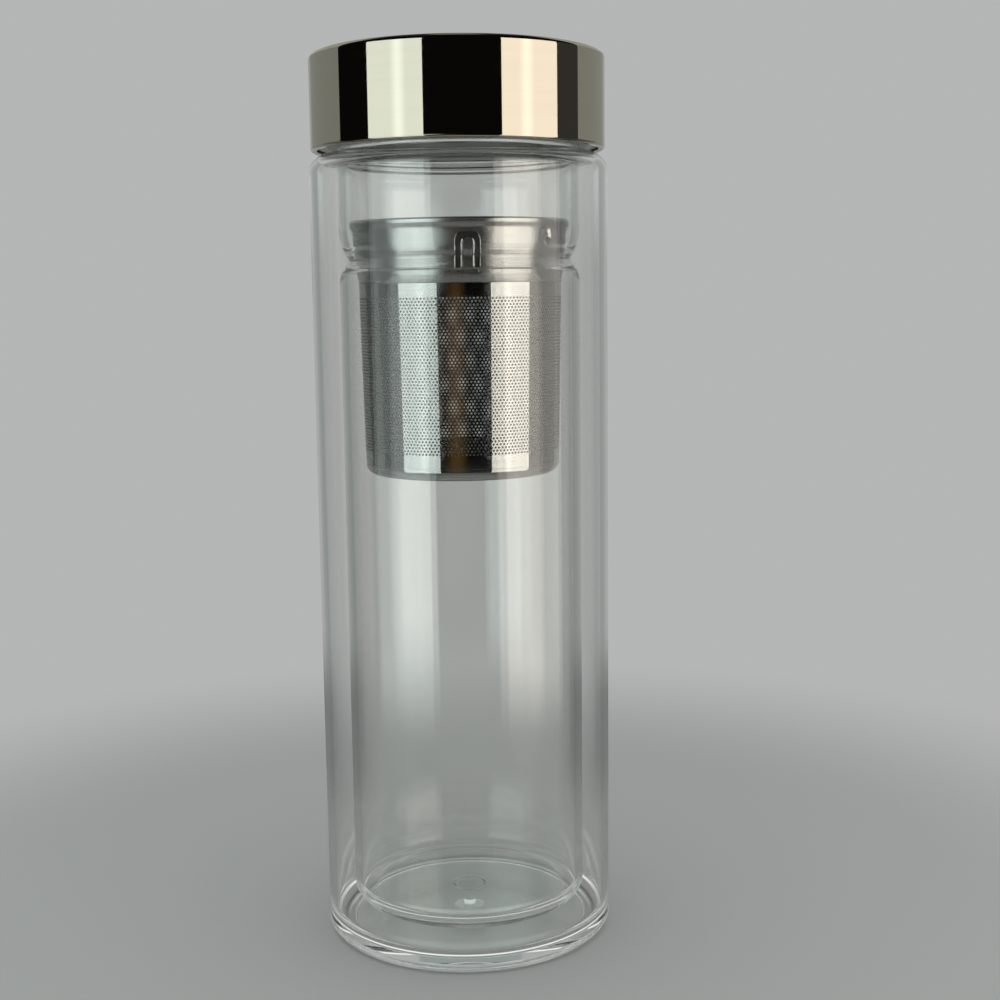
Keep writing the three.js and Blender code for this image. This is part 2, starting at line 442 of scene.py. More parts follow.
class Effects:
    """Shader node groups that several finishes share."""

    streak_range = (0.25, 0.75)
    fine_scale = 14.0
    fine_share = 0.35
    mark_range = (0.1, 0.5)
    cell_share = 0.6
    cloud_scale = 0.12
    grain_range = (0.3, 1.2)

    def __init__(self) -> None:
        """Builds the groups once."""
        self.streaks = self.turned_streaks()
        self.marks = self.handling_marks()
        self.grain = self.moulded_grain()

    def turned_streaks(self) -> NodeTree:
        """Makes fine streaks that run round the Z axis, on upright walls and on flat discs alike.

        Returns:
            The node group.
        """
        graph, given = new_group("Turned streaks", {"Around": 60.0, "Across": 3000.0}, "Streak")
        x, y, z = graph.add("ShaderNodeSeparateXYZ", {0: graph.object_place()}).outputs
        radius = graph.math("SQRT", graph.math("ADD", *(graph.math("POWER", axis, 2.0) for axis in (x, y))))
        across = graph.math("MULTIPLY", graph.math("ADD", z, radius), given.outputs["Across"])
        along = [graph.math("MULTIPLY", axis, given.outputs["Around"]) for axis in (x, y)]
        vector = graph.first("ShaderNodeCombineXYZ", dict(enumerate((*along, across))))
        streak = graph.remap(graph.noise(vector, 1.0, 3.0), *self.streak_range)
        graph.add("NodeGroupOutput", {"Streak": streak})
        return graph.tree

    def handling_marks(self) -> NodeTree:
        """Makes soft patches where a surface was touched or wiped.

        Returns:
            The node group.
        """
        graph, given = new_group("Handling marks", {"Scale": 45.0, "Cover": 0.5}, "Mark")
        spot = graph.object_place()
        broad = graph.noise(spot, given.outputs["Scale"], 2.0)
        fine = graph.noise(spot, graph.math("MULTIPLY", given.outputs["Scale"], self.fine_scale), 4.0)
        both = graph.math("ADD", broad, graph.math("MULTIPLY", fine, self.fine_share))
        patch = graph.math("SUBTRACT", both, graph.math("SUBTRACT", 1.0, given.outputs["Cover"]))
        graph.add("NodeGroupOutput", {"Mark": graph.remap(patch, *self.mark_range)})
        return graph.tree

    def moulded_grain(self) -> NodeTree:
        """Makes the fine matt grain of a moulded surface.

        Returns:
            The node group.
        """
        graph, given = new_group("Moulded grain", {"Scale": 2600.0}, "Grain")
        spot = graph.object_place()
        cells = graph.add("ShaderNodeTexVoronoi", {"Vector": spot, "Scale": given.outputs["Scale"]})
        cloud = graph.noise(spot, graph.math("MULTIPLY", given.outputs["Scale"], self.cloud_scale), 3.0)
        value = graph.math("ADD", graph.math("MULTIPLY", cells.outputs["Distance"], self.cell_share), cloud)
        graph.add("NodeGroupOutput", {"Grain": graph.remap(value, *self.grain_range)})
        return graph.tree


@dataclass(frozen=True)
class Finish:
    """Finish of a surface; each kind of finish draws its own shader."""

    name: str

    def shader(self, graph: Graph, effects: Effects) -> NodeSocket:
        """Returns the shader of this kind of finish."""
        raise NotImplementedError

    def material(self, effects: Effects) -> Material:
        """Builds the material.

        Args:
            effects: Shared node groups.

        Returns:
            The new material.
        """
        material, graph = new_material(self.name)
        graph.surface(self.shader(graph, effects))
        return material


@dataclass(frozen=True)
class SteelFinish(Finish):
    """Stainless steel with the streaks of turning or brushing, and faint handling marks."""

    bright: Colour
    dull: Colour
    smoothest: float
    roughest: float
    around: float
    across: float
    relief: float
    marks: float
    streak_share: float = 0.7
    mark_share: float = 0.3

    def shader(self, graph: Graph, effects: Effects) -> NodeSocket:
        """Draws the steel.

        Args:
            graph: Graph of the material.
            effects: Shared node groups.

        Returns:
            The shader.
        """
        streak = graph.group(effects.streaks, Around=self.around, Across=self.across)
        mark = graph.group(effects.marks, Cover=self.marks)
        wear = graph.math("ADD", graph.math("MULTIPLY", streak, self.streak_share),
                          graph.math("MULTIPLY", mark, self.mark_share))
        return graph.first("ShaderNodeBsdfPrincipled", {
            "Base Color": graph.blend(wear, self.bright, self.dull), "Metallic": 1.0,
            "Roughness": graph.remap(wear, 0.0, 1.0, self.smoothest, self.roughest),
            "Normal": graph.bump(streak, self.relief)})


@dataclass(frozen=True)
class GlassFinish(Finish):
    """Clear blown glass with a faint ripple, which lets lamplight through to what it holds."""

    name: str = "Blown glass"
    tint: Colour = (0.988, 0.992, 0.985)
    index: float = 1.48
    ripple: float = 0.02
    ripple_scale: float = 38.0
    marks: float = 0.35
    roughest: float = 0.03
    lamp_tint: Colour = (0.985, 0.99, 0.986)

    def shader(self, graph: Graph, effects: Effects) -> NodeSocket:
        """Draws the glass.

        Args:
            graph: Graph of the material.
            effects: Shared node groups.

        Returns:
            The shader.
        """
        ripple = graph.noise(graph.object_place(), self.ripple_scale, 1.0)
        mark = graph.group(effects.marks, Cover=self.marks)
        glass = graph.first("ShaderNodeBsdfPrincipled", {
            "Base Color": (*self.tint, 1.0), "Metallic": 0.0, "IOR": self.index, "Transmission Weight": 1.0,
            "Roughness": graph.remap(mark, 0.0, 1.0, 0.0, self.roughest),
            "Normal": graph.bump(ripple, self.ripple)})
        open_air = graph.first("ShaderNodeBsdfTransparent", {"Color": (*self.lamp_tint, 1.0)})
        path = graph.add("ShaderNodeLightPath")
        return graph.mix(path.outputs["Is Shadow Ray"], glass, open_air)


@dataclass(frozen=True)
class MouldedFinish(Finish):
    """Moulded plastic or rubber with a fine grain and faint handling marks."""

    clean: Colour
    worn: Colour
    smoothest: float
    roughest: float
    grain_scale: float
    relief: float

    def shader(self, graph: Graph, effects: Effects) -> NodeSocket:
        """Draws the plastic or rubber.

        Args:
            graph: Graph of the material.
            effects: Shared node groups.

        Returns:
            The shader.
        """
        grain = graph.group(effects.grain, Scale=self.grain_scale)
        mark = graph.group(effects.marks)
        return graph.first("ShaderNodeBsdfPrincipled", {
            "Base Color": graph.blend(mark, self.clean, self.worn), "Metallic": 0.0,
            "Roughness": graph.remap(grain, 0.0, 1.0, self.smoothest, self.roughest),
            "Normal": graph.bump(grain, self.relief)})


POLISHED_LID = SteelFinish("Polished lid steel", (0.56, 0.51, 0.42), (0.54, 0.492, 0.405), 0.015, 0.05,
                           14.0, 700.0, 0.00002, 0.5)
MIRROR_BASKET = SteelFinish("Mirror basket steel", (0.56, 0.56, 0.55), (0.50, 0.50, 0.49), 0.03, 0.08,
                            80.0, 2200.0, 0.0002, 0.4)
SATIN_COLLAR = SteelFinish("Satin collar steel", (0.58, 0.58, 0.565), (0.545, 0.545, 0.532), 0.24, 0.28,
                           30.0, 3000.0, 0.0004, 0.5)
# Matt finish for the inside of the basket. Its colour is painted paler than real steel, as painted light
# that lifts the shaded inside.
MATT_INSIDE_PAINTED_LIGHT = SteelFinish("Matt inside steel, painted lighter", (0.80, 0.80, 0.78), (0.74, 0.74, 0.72), 0.45, 0.6,
                          60.0, 1500.0, 0.0006, 0.5)
# Near-black steel for the strips behind the slots: painted shade that stands in for the dark inside seen
# through the open cuts.
SLOT_PAINTED_SHADE = SteelFinish("Slot steel, painted shade", (0.15, 0.15, 0.14), (0.11, 0.11, 0.105), 0.4, 0.55,
                          60.0, 1500.0, 0.0006, 0.5)
CLEAR_GLASS = GlassFinish()
LINER_PLASTIC = MouldedFinish("Liner plastic", (0.84, 0.84, 0.80), (0.78, 0.78, 0.74), 0.38, 0.55,
                              2600.0, 0.01)
SEAL_SILICONE = MouldedFinish("Seal silicone", (0.82, 0.82, 0.79), (0.74, 0.74, 0.71), 0.52, 0.7,
                              1700.0, 0.006)


@dataclass
class GlassBody:
    """Outer wall and inner vessel, fused at the shoulder, with an air space between them."""

    radius: float = 35.0
    height: float = 187.6
    wall: float = 1.8
    base: float = 2.4
    foot_recess: float = 0.6
    foot_radius: float = 29.4
    foot_ease: float = 2.4
    base_ease: float = 5.0
    shoulder_ease: float = 4.0
    weld_ease: float = 1.3
    vessel: float = 28.5
    vessel_foot: float = 7.5
    vessel_ease: float = 4.4
    bore_ease: float = 3.6
    neck_top: float = 204.9
    lip_ease: float = 0.85
    outer_waist: tuple[Corner, ...] = (
        Corner(0.0, 158.7, 0.7), Corner(-0.5, 160.6, 0.3), Corner(-1.3, 161.2, 0.3),
        Corner(-1.5, 162.0, 0.3), Corner(-2.35, 163.3, 0.35), Corner(-1.4, 164.6, 0.3),
        Corner(-1.25, 165.3, 0.25), Corner(-0.7, 166.2, 0.3), Corner(0.0, 169.9, 1.6))
    bore_waist: tuple[Corner, ...] = (
        Corner(0.0, 159.0, 0.7), Corner(-0.5, 160.9, 0.4), Corner(-1.8, 163.3, 0.4),
        Corner(-0.75, 166.0, 0.4), Corner(0.0, 169.6, 1.6))
    pip_radius: float = 3.7
    pip_flat: float = 2.22
    pip_height: float = 1.1
    boss_height: float = 0.7
    boss_draft: float = 0.2
    steps: int = 160
    thread: Thread = Thread(wall=28.5, foot=193.0, top=202.0, zero=193.0, side=Side.OUTWARD)

    @staticmethod
    def drawn_in(radius: float, waist: Sequence[Corner]) -> list[Corner]:
        """Returns a waist's corners on a wall of the given radius, from its top down."""
        return [Corner(radius + c.r, c.z, c.ease) for c in reversed(waist)]

    def outer_skin(self) -> BMesh:
        """Shapes what air and drink touch: base, wall, shoulder, threaded neck and bore.

        Returns:
            The turned skin.
        """
        bore = self.vessel - self.wall
        floor = self.vessel_foot + self.wall
        bm = draw([
            Corner(0.0, self.foot_recess),
            Corner(self.foot_radius - self.foot_recess, self.foot_recess, 0.7),
            Corner(self.foot_radius, 0.0, 0.4),
            Corner(self.radius, 0.0, self.foot_ease),
            Corner(self.radius, self.height, self.shoulder_ease),
            Corner(self.vessel, self.height, self.weld_ease),
            Corner(self.vessel, self.neck_top, self.lip_ease),
            Corner(bore, self.neck_top, self.lip_ease),
            *self.drawn_in(bore, self.bore_waist),
            Corner(bore, floor, self.bore_ease),
            Corner(0.0, floor),
        ])
        self.thread.split_rows(bm, self.height, self.neck_top)
        turn(bm, self.steps)
        self.thread.raise_on(bm)
        return bm

    def cavity_skin(self) -> BMesh:
        """Shapes the sealed air space.

        Returns:
            The turned skin, with its faces turned away from the glass.
        """
        inside = self.radius - self.wall
        roof = self.height - self.wall
        pip_top = self.base + self.pip_height
        boss = self.vessel_foot - self.boss_height
        bm = draw([
            Corner(0.0, pip_top),
            Corner(self.pip_flat, pip_top, 1.2),
            Corner(self.pip_radius, self.base, 0.6),
            Corner(inside, self.base, self.base_ease),
            Corner(inside, roof, self.shoulder_ease - self.wall),
            Corner(self.vessel, roof, 1.0),
            *self.drawn_in(self.vessel, self.outer_waist),
            Corner(self.vessel, self.vessel_foot, self.vessel_ease),
            Corner(self.pip_radius + self.boss_draft, self.vessel_foot, 0.25),
            Corner(self.pip_radius, boss, 0.3),
            Corner(0.0, boss),
        ])
        turn(bm, self.steps)
        bmesh.ops.reverse_faces(bm, faces=bm.faces[:])
        return bm

    def build(self, glass: Material) -> None:
        """Builds and dresses the glass body.

        Args:
            glass: Material of the glass.
        """
        bm = self.outer_skin()
        take_in(bm, self.cavity_skin())
        body = new_object("glass_body", bm, glass)
        place(body, Body.TUMBLER, Slot.GLASS, "outer_glass_wall", "inner_glass_vessel")


@dataclass
class Lid:
    """Steel cap, the plastic cup with the inner thread that it holds, and the gasket under its roof."""

    foot: float = 188.4
    top: float = 210.0
    radius: float = 34.5
    sheet: float = 0.6
    top_ease: float = 1.0
    hem_reach: float = 0.9
    liner_radius: float = 33.6
    liner_bore: float = 30.3
    liner_foot: float = 189.3
    liner_roof: float = 207.3
    liner_top: float = 209.1
    rib_radius: float = 25.8
    rib_inner: float = 24.6
    rib_foot: float = 205.2
    gasket_inner: float = 26.1
    gasket_outer: float = 30.0
    gasket_foot: float = 205.2
    gasket_top: float = 207.0
    gasket_ease: float = 0.3
    bead_height: float = 0.25
    bead_root: float = 1.0
    bead_crest: float = 0.5
    steps: int = 160
    thread: Thread = Thread(wall=30.3, foot=190.9, top=199.73, zero=190.726, side=Side.INWARD)

    def shell(self) -> BMesh:
        """Shapes the steel cap with its rounded top edge and turned-in hem.

        Returns:
            The turned cap.
        """
        inside = self.radius - self.sheet
        hem = inside - self.hem_reach
        return turn(draw([
            Corner(0.0, self.top - self.sheet),
            Corner(inside, self.top - self.sheet, self.top_ease - self.sheet),
            Corner(inside, self.foot + self.sheet, 0.2),
            Corner(hem, self.foot + self.sheet, 0.28),
            Corner(hem, self.foot, 0.28),
            Corner(self.radius, self.foot, 0.6),
            Corner(self.radius, self.top, self.top_ease),
            Corner(0.0, self.top),
        ]), self.steps)

    def liner(self) -> BMesh:
        """Shapes the plastic cup with its centring rib and inner thread.

        Returns:
            The turned cup.
        """
        bm = draw([
            Corner(0.0, self.liner_roof),
            Corner(self.rib_inner, self.liner_roof, 0.4),
            Corner(self.rib_inner, self.rib_foot, 0.4),
            Corner(self.rib_radius, self.rib_foot, 0.4),
            Corner(self.rib_radius, self.liner_roof, 0.2),
            Corner(self.liner_bore, self.liner_roof, 0.2),
            Corner(self.liner_bore, self.liner_foot, 0.5),
            Corner(self.liner_radius, self.liner_foot, 0.5),
            Corner(self.liner_radius, self.liner_top, self.top_ease),
            Corner(0.0, self.liner_top),
        ])
        self.thread.split_rows(bm, self.liner_foot, self.liner_roof)
        turn(bm, self.steps)
        self.thread.raise_on(bm)
        return bm

    def gasket(self) -> BMesh:
        """Shapes the ring with a shallow sealing bead on its lower face.

        Returns:
            The turned ring.
        """
        middle = 0.5 * (self.gasket_inner + self.gasket_outer)
        face = self.gasket_foot + self.bead_height
        outline = [
            (self.gasket_inner, face), (middle - self.bead_root, face),
            (middle - self.bead_crest, self.gasket_foot), (middle + self.bead_crest, self.gasket_foot),
            (middle + self.bead_root, face), (self.gasket_outer, face),
            (self.gasket_outer, self.gasket_top), (self.gasket_inner, self.gasket_top),
        ]
        return turn(draw([Corner(r, z, self.gasket_ease) for r, z in outline], closed=True), self.steps)

    def build(self, steel: Material, plastic: Material, silicone: Material) -> None:
        """Builds and dresses the lid.

        Args:
            steel: Material of the cap.
            plastic: Material of the liner.
            silicone: Material of the gasket.
        """
        shell = new_object("lid_cap_shell", self.shell(), steel)
        place(shell, Body.LID, Slot.POLISHED_STEEL, "lid_shell")
        liner = new_object("lid_thread_liner", self.liner(), plastic)
        place(liner, Body.LID, Slot.LINER_PLASTIC, "lid_liner")
        gasket = new_object("lid_seal_ring", self.gasket(), silicone)
        place(gasket, Body.LID_SEAL, Slot.SILICONE, "lid_gasket")


@dataclass
class Infuser:
    """Collar with spring tongues and lifting holes, perforated wall, and perforated dished floor."""

    seat: float = 165.24
    sheet: float = 0.5
    collar_radius: float = 25.2
    rim_radius: float = 26.0
    rim_lip: float = 25.4
    rim_foot: float = 4.9
    rim_swell: float = 5.8
    rim_inside: float = 6.1
    rim_crest: float = 6.8
    rim_top: float = 7.0
    lower_radius: float = 24.6
    step: float = 1.2
    lower_drop: float = 5.4
    cone_drop: float = 7.4
    cone_radius: float = 24.05
    collar_steps: int = 192
    tongue_angles: tuple[float, ...] = (3.9, 183.9)
    hole_angles: tuple[float, ...] = (48.0, 228.0)
    slot_span: float = 5.5
    slot_width: float = 1.5
    slot_ease: float = 2.2
    slot_rise: float = 4.0
    slot_drop: float = 5.2
    leg_ease_share: float = 0.48
    tongue_ease_share: float = 0.9
    slot_edge_radius: float = 0.3
    slot_edge_sink: float = 0.15
    slot_edge_step: float = 0.3
    slot_edge_rounding: int = 3
    slot_outer_share: float = 0.55
    tongue_margin: float = 0.2
    back_low: float = 0.1
    back_high: float = 0.6
    back_front: float = 0.32
    back_behind: float = 0.02
    back_spread: float = 0.75
    back_steps: int = 16
    spring: float = 0.3
    spring_side: float = 0.6
    spring_top: float = 0.5
    cut_start: float = 0.7
    cut_length: float = 0.5
    hole_radius: float = 1.15
    hole_rise: float = 3.3
    hole_steps: int = 40
    lip_radius: float = 1.95
    lip_overlap: float = 0.02
    lip_round: float = 0.08
    lip_proud: float = 0.04
    eyelet_sheet: float = 0.25
    eyelet_depth: float = 1.0
    eyelet_bend: float = 0.4
    wall_top: float = 157.8
    wall_foot: float = 115.88
    dish_radius: float = 23.3
    dish_foot: float = 113.04
    dish_top: float = 115.84
    dish_ease: float = 2.4
    columns: int = 180
    rows: int = 50
    first_row: float = 119.3
    hole_share: float = 0.295
    wall_sheet: float = 0.4
    floor_reach: float = 19.4
    floor_ring: float = 20.7

    @property
    def pitch(self) -> float:
        """Distance between neighbouring holes of a row."""
        return FULL_TURN * 0.5 * (self.cone_radius + self.dish_radius) / self.columns

    def collar_ring(self) -> BMesh:
        """Shapes the collar before anything is cut out of it.

        Returns:
            The turned collar.
        """
        collar_bore = self.collar_radius - self.sheet
        lower_bore = self.lower_radius - self.sheet
        outline = [
            Corner(self.cone_radius, -self.cone_drop, 0.15),
            Corner(self.lower_radius, -self.lower_drop, 0.5),
            Corner(self.lower_radius, -self.step, 0.45),
            Corner(self.collar_radius, 0.0, 0.45),
            Corner(self.collar_radius, self.rim_foot, 0.6),
            Corner(self.rim_radius, self.rim_swell, 0.4),
            Corner(self.rim_radius, self.rim_crest, 0.35),
            Corner(self.rim_lip, self.rim_top, 0.25),
            Corner(collar_bore, self.rim_inside, 0.5),
            Corner(collar_bore, 0.0, 0.4),
            Corner(lower_bore, -self.step, 0.4),
            Corner(lower_bore, -self.lower_drop, 0.4),
            Corner(self.cone_radius - self.sheet, -self.cone_drop, 0.15),
        ]
        seated = [Corner(c.r, c.z + self.seat, c.ease) for c in outline]
        return turn(draw(seated, closed=True), self.collar_steps)

    def slot_outline(self) -> BMesh:
        """Draws the arch-shaped outline that frees a spring tongue.

        Returns:
            The outline, flat at the origin.
        """
        half = 0.5 * self.slot_span
        tongue = half - self.slot_width
        leg_ease = self.leg_ease_share * self.slot_width
        tongue_ease = self.tongue_ease_share * tongue
        tongue_top = self.slot_rise - self.slot_width
        return draw([
            Corner(-half, -self.slot_drop, leg_ease),
            Corner(-half, self.slot_rise, self.slot_ease),
            Corner(half, self.slot_rise, self.slot_ease),
            Corner(half, -self.slot_drop, leg_ease),
            Corner(tongue, -self.slot_drop, leg_ease),
            Corner(tongue, tongue_top, tongue_ease),
            Corner(-tongue, tongue_top, tongue_ease),
            Corner(-tongue, -self.slot_drop, leg_ease),
        ], closed=True)

    def slot_cutter(self) -> BMesh:
        """Makes the arch-shaped block that frees a spring tongue.

        Returns:
            The block at the front.
        """
        bm = self.slot_outline()
        bmesh.ops.edgeloop_fill(bm, edges=bm.edges[:])
        return self.through_front(bm)

    def slot_edge(self) -> BMesh:
        """Makes the rounded edge that runs round a slot.

        Returns:
            A thin closed tube at the front.
        """
        wire = self.slot_outline()
        for edge in wire.edges[:]:
            cuts = int(edge.calc_length() / MM / self.slot_edge_step)
            if cuts:
                bmesh.ops.subdivide_edges(wire, edges=[edge], cuts=cuts)
        curve = bpy.data.curves.new("slot_edge", "CURVE")
        curve.dimensions = "3D"
        curve.bevel_depth = self.slot_edge_radius * MM
        curve.bevel_resolution = self.slot_edge_rounding
        spline = curve.splines.new("POLY")
        spline.points.add(len(wire.verts) - 1)
        spline.use_cyclic_u = True
        wire.verts.ensure_lookup_table()
        vert = wire.verts[0]
        edge = vert.link_edges[0]
        for point in spline.points:
            x = vert.co.x / MM
            z = vert.co.z / MM
            radius = self.outer_radius(z) - self.slot_edge_sink
            point.co = (*on_ring(radius, x / radius, z + self.seat), 1.0)
            point.radius = 1.0 if self.on_tongue(x, z) else self.slot_outer_share
            vert = edge.other_vert(vert)
            edge = next(e for e in vert.link_edges if e is not edge)
        wire.free()
        tube = bpy.data.objects.new("slot_edge", curve)
        mesh = bpy.data.meshes.new_from_object(tube)
        bm = bmesh.new()
        bm.from_mesh(mesh)
        bpy.data.batch_remove([tube, curve, mesh])
        close_up(bm)
        give_finish(bm, 1)
        return bm

    def slot_shade_strip(self) -> BMesh:
        """Makes the thin dark strip that closes a slot from the inside, a sheet of painted shade that
        stands in for the dark inside seen through the open slot.

        Returns:
            The strip at the front.
        """
        profile = [
            (self.lower_radius, -self.slot_drop - self.back_low), (self.lower_radius, -self.step),
            (self.collar_radius, 0.0), (self.collar_radius, self.slot_rise + self.back_high)]
        front = [Corner(r - self.back_front, z + self.seat) for r, z in profile]
        behind = [Corner(r - self.sheet - self.back_behind, z + self.seat) for r, z in reversed(profile)]
        bm = draw(front + behind, closed=True)
        bmesh.ops.edgeloop_fill(bm, edges=bm.edges[:])
        spread = self.back_spread * self.slot_span / self.lower_radius
        bmesh.ops.spin(bm, geom=whole(bm), axis=UP, angle=2.0 * spread, steps=self.back_steps)
        bmesh.ops.rotate(bm, verts=bm.verts[:], matrix=Matrix.Rotation(-QUARTER_TURN - spread, 3, "Z"))
        bmesh.ops.recalc_face_normals(bm, faces=bm.faces[:])
        # painted shade: the strip takes the near-black slot steel
        give_finish(bm, 2)
        return bm

    def on_tongue(self, x: float, z: float) -> bool:
        """Returns whether a point of the slot outline lies on the edge of the tongue."""
        reach = self.tongue_margin - self.slot_width
        return abs(x) < 0.5 * self.slot_span + reach and z < self.slot_rise + reach

    def outer_radius(self, z: float) -> float:
        """Returns the collar's outer radius at a height above its seat, across the step."""
        share = min(max(-z / self.step, 0.0), 1.0)
        return self.collar_radius + share * (self.lower_radius - self.collar_radius)

    def hole_cutter(self) -> BMesh:
        """Makes the round block that cuts a lifting hole.

        Returns:
            The block at the front.
        """
        bm = bmesh.new()
        lift = Matrix.Translation((0.0, 0.0, self.hole_rise * MM))
        upright = lift @ Matrix.Rotation(QUARTER_TURN, 4, "X")
        bmesh.ops.create_circle(bm, cap_ends=True, radius=self.lip_radius * MM, segments=self.hole_steps,
                                matrix=upright)
        return self.through_front(bm)

    def through_front(self, bm: BMesh) -> BMesh:
        """Extrudes a flat face into a block that passes the collar's front wall.

        Args:
            bm: Mesh with one face in the XZ plane.

        Returns:
            The same mesh.
        """
        shift(bm, 0.0, -self.cut_start * self.collar_radius, self.seat)
        far = only(BMVert, bmesh.ops.extrude_face_region(bm, geom=bm.faces[:])["geom"])
        bmesh.ops.translate(bm, verts=far, vec=(0.0, -self.cut_length * self.collar_radius * MM, 0.0))
        bmesh.ops.recalc_face_normals(bm, faces=bm.faces[:])
        return bm

    def cutters(self) -> BMesh:
        """Makes every block that is cut out of the collar.

        Returns:
            The blocks in one mesh.
        """
        bm = bmesh.new()
        for angle in self.tongue_angles:
            take_in(bm, self.slot_cutter(), angle)
        for angle in self.hole_angles:
            take_in(bm, self.hole_cutter(), angle)
        return bm

    def collar(self) -> BMesh:
        """Cuts the collar's slots and holes, rounds their edges and springs its tongues.

        Returns:
            The finished collar.
        """
        ring = new_object("collar_ring", self.collar_ring())
        blocks = new_object("collar_cutters", self.cutters())
        cut = ring.modifiers.new("cut", "BOOLEAN")
        cut.object = blocks
        cut.operation = "DIFFERENCE"
        cut.solver = "EXACT"
        bm = bmesh.new()
        bm.from_object(ring, bpy.context.evaluated_depsgraph_get())
        bpy.data.batch_remove([ring, ring.data, blocks, blocks.data])
        bmesh.ops.remove_doubles(bm, verts=bm.verts[:], dist=MERGE_DISTANCE)
        for angle in self.tongue_angles:
            take_in(bm, self.slot_edge(), angle)
            # each slot gets a dark strip of painted shade behind it
            take_in(bm, self.slot_shade_strip(), angle)
        self.spring_tongues(bm)
        for angle in self.hole_angles:
            take_in(bm, self.eyelet(), angle)
        return bm

    def spring_tongues(self, bm: BMesh) -> None:
        """Bends the free end of each tongue slightly outwards.

        Args:
            bm: Collar after cutting.
        """
        half = 0.5 * self.slot_span - self.spring_side * self.slot_width
        top = self.slot_rise - self.spring_top * self.slot_width
        for vert in bm.verts:
            for angle in self.tongue_angles:
                spot = Matrix.Rotation(-math.radians(angle), 3, "Z") @ vert.co / MM
                z = spot.z - self.seat
                if spot.y > 0.0 or abs(spot.x) > half or not -self.slot_drop < z < top:
                    continue
                share = (z + self.slot_drop) / (self.slot_rise + self.slot_drop)
                grow_sideways(vert, self.spring * share * share / self.collar_radius)

    def eyelet(self) -> BMesh:
        """Makes the drawn lip of a lifting hole, which turns into the collar.

        Returns:
            The lip at the front.
        """
        inner = self.hole_radius
        outer = self.hole_radius + self.eyelet_sheet
        rim = self.lip_radius + self.lip_overlap
        bm = turn(draw([
            Corner(rim, self.lip_proud),
            Corner(self.lip_radius - self.lip_round, self.lip_proud, 0.06),
            Corner(inner, -self.eyelet_bend, 0.2),
            Corner(inner, -self.eyelet_depth, 0.1),
            Corner(outer, -self.eyelet_depth, 0.1),
            Corner(outer, -self.eyelet_depth + self.eyelet_sheet, 0.1),
            Corner(rim, -self.sheet),
        ], closed=True), self.hole_steps)
        give_finish(bm, 1)
        bmesh.ops.rotate(bm, verts=bm.verts[:], matrix=Matrix.Rotation(QUARTER_TURN, 3, "X"))
        shift(bm, 0.0, -self.collar_radius, self.seat + self.hole_rise)
        return bm

    @staticmethod
    def honeycomb(columns: int, rows: int) -> BMesh:
        """Lays out a flat sheet of six-sided cells, at a pitch of one.

        Args:
            columns: Cells in a row.
            rows: Rows, each set half a cell off the one before.

        Returns:
            The sheet in the XY plane, with the first cell at the origin.
        """
        bm = bmesh.new()
        bmesh.ops.create_circle(bm, cap_ends=True, radius=CELL_RADIUS, segments=CELL_SIDES)
        along = [(column, 0.0, 0.0) for column in range(1, columns)]
        up = [(0.5 * (row % 2), CELL_ROW * row, 0.0) for row in range(1, rows)]
        for places in (along, up):
            pattern = whole(bm)
            for spot in places:
                copy = bmesh.ops.duplicate(bm, geom=pattern)["geom"]
                bmesh.ops.translate(bm, verts=only(BMVert, copy), vec=spot)
        bmesh.ops.remove_doubles(bm, verts=bm.verts[:], dist=CELL_MERGE)
        return bm

    def pierce(self, bm: BMesh, cells: list[BMFace], pitch: float) -> None:
        """Opens a hole in every cell of a honeycomb sheet.

        Args:
            bm: Sheet that holds the cells.
            cells: Whole cells.
            pitch: Distance between neighbouring cells.
        """
        bmesh.ops.inset_individual(bm, faces=cells, thickness=(0.5 - self.hole_share) * pitch, depth=0.0,
                                   use_even_offset=True)
        bmesh.ops.delete(bm, geom=cells, context="FACES")

    def wall_half(self, first_column: int) -> BMesh:
        """Builds one half of the perforated wall.

        Args:
            first_column: Column of holes that the half starts at, counted from the +X side.

        Returns:
            The half wall with its thickness.
        """
        bm = self.honeycomb(self.columns // 2, self.rows)
        self.pierce(bm, bm.faces[:], 1.0)
        for upper, limit in ((False, self.wall_foot), (True, self.wall_top)):
            ends = [e for e in bm.edges if e.is_boundary and self.beyond_rows(e, upper)]
            for vert in only(BMVert, bmesh.ops.extrude_edge_only(bm, edges=ends)["geom"]):
                vert.co.y = (limit - self.first_row) / self.pitch
        for vert in bm.verts:
            angle = (vert.co.x + first_column) / self.columns * FULL_TURN
            height = self.first_row + vert.co.y * self.pitch
            share = (height - self.wall_foot) / (self.wall_top - self.wall_foot)
            radius = self.dish_radius + share * (self.cone_radius - self.dish_radius)
            vert.co = Vector((radius * math.cos(angle), radius * math.sin(angle), height)) * MM
        self.thicken(bm, lambda face: face.normal.dot(face.calc_center_median() * Vector((1.0, 1.0, 0.0))))
        return bm

    def beyond_rows(self, edge: BMEdge, upper: bool) -> bool:
        """Tells whether an edge of the flat sheet lies beyond its outermost holes.

        Args:
            edge: Edge on the boundary of the sheet or of a hole.
            upper: Whether to look above the last row, or else below the first.

        Returns:
            Whether it lies there and isn't on a side of the sheet.
        """
        start, end = (v.co for v in edge.verts)
        middle = 0.5 * (start.y + end.y)
        last = CELL_ROW * (self.rows - 1)
        beyond = middle > last + CELL_EDGE if upper else middle < -CELL_EDGE
        return beyond and abs(start.x - end.x) >= CELL_MERGE

    def thicken(self, bm: BMesh, outward: Callable[[BMFace], float]) -> None:
        """Turns a sheet's faces outwards and gives it its thickness on the inside.

        Args:
            bm: Sheet without thickness.
            outward: Function that is positive for a face that points outwards.
        """
        bmesh.ops.recalc_face_normals(bm, faces=bm.faces[:])
        bm.normal_update()
        bm.faces.ensure_lookup_table()
        if outward(bm.faces[0]) < 0.0:
            bmesh.ops.reverse_faces(bm, faces=bm.faces[:])
            bm.normal_update()
        outside = set(bm.faces)
        bmesh.ops.solidify(bm, geom=bm.faces[:], thickness=self.wall_sheet * MM)
        for face in bm.faces:
            face.material_index = 0 if face in outside else 1

